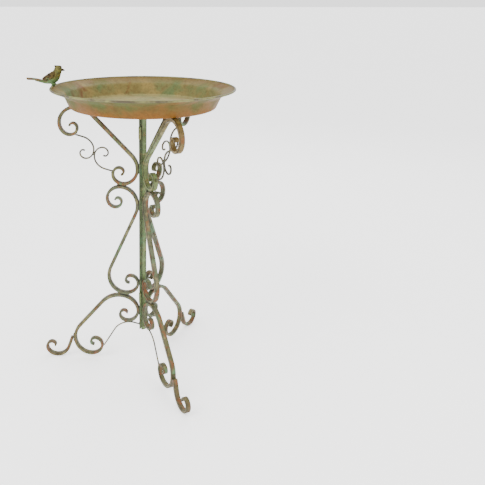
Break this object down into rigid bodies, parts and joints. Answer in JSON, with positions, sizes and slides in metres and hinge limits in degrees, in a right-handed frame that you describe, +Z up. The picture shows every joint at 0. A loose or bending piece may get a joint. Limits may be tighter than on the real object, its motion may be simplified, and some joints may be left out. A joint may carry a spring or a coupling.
{
  "type": "bird bath",
  "caption": "Shallow round metal basin with a bird perched on its rim, on a folding stand of three hinged scrollwork panels.",
  "frame": {"origin": "on the ground, on the axis of the post where the three panels meet", "axes": "+Z up, -X along the fixed left panel towards the bird, -Y towards the viewer"},
  "size_m": [0.4913, 0.4788, 0.7903],
  "materials": {
    "stile_patina": "matt verdigris green over brown",
    "arm_patina": "matt golden olive with rust streaks",
    "bar_patina": "matt dark olive with rust streaks",
    "wire_patina": "matt olive",
    "hinge_metal": "matt olive with bright wear",
    "basin_patina": "mottled olive, tan and rust",
    "bird_patina": "matt olive with brown edges"
  },
  "bodies": {
    "fixed_panel": {"left_stile": "stile_patina", "left_arm_scroll": "arm_patina", "left_middle_scroll": "bar_patina", "left_leg_scroll": "bar_patina", "left_foot_scroll": "bar_patina", "left_outer_wire": "wire_patina", "left_inner_wire": "wire_patina", "left_brace_wire": "wire_patina", "front_hinge_fixed_knuckles": "hinge_metal", "front_hinge_pins": "hinge_metal", "rear_hinge_fixed_knuckles": "hinge_metal", "rear_hinge_pins": "hinge_metal"},
    "front_panel": {"front_stile": "stile_patina", "front_arm_scroll": "arm_patina", "front_middle_scroll": "bar_patina", "front_leg_scroll": "bar_patina", "front_foot_scroll": "bar_patina", "front_outer_wire": "wire_patina", "front_inner_wire": "wire_patina", "front_brace_wire": "wire_patina", "front_hinge_moving_knuckles": "hinge_metal"},
    "rear_panel": {"rear_stile": "stile_patina", "rear_arm_scroll": "arm_patina", "rear_middle_scroll": "bar_patina", "rear_leg_scroll": "bar_patina", "rear_foot_scroll": "bar_patina", "rear_outer_wire": "wire_patina", "rear_inner_wire": "wire_patina", "rear_brace_wire": "wire_patina", "rear_hinge_moving_knuckles": "hinge_metal"},
    "basin": {"basin_pan": "basin_patina", "bird": "bird_patina"}
  },
  "joints": [
    {"name": "front_panel_fold", "type": "hinge", "parent": "fixed_panel", "child": "front_panel", "pos_m": [-0.00566, -0.0098, 0.4], "axis": [0, 0, -1], "range_deg": [0, 120]},
    {"name": "rear_panel_fold", "type": "hinge", "parent": "fixed_panel", "child": "rear_panel", "pos_m": [-0.00566, 0.0098, 0.4], "axis": [0, 0, 1], "range_deg": [0, 120]},
    {"name": "basin_lift", "type": "slide", "parent": "fixed_panel", "child": "basin", "axis": [0, 0, 1], "range_m": [0, 0.15]}
  ]
}
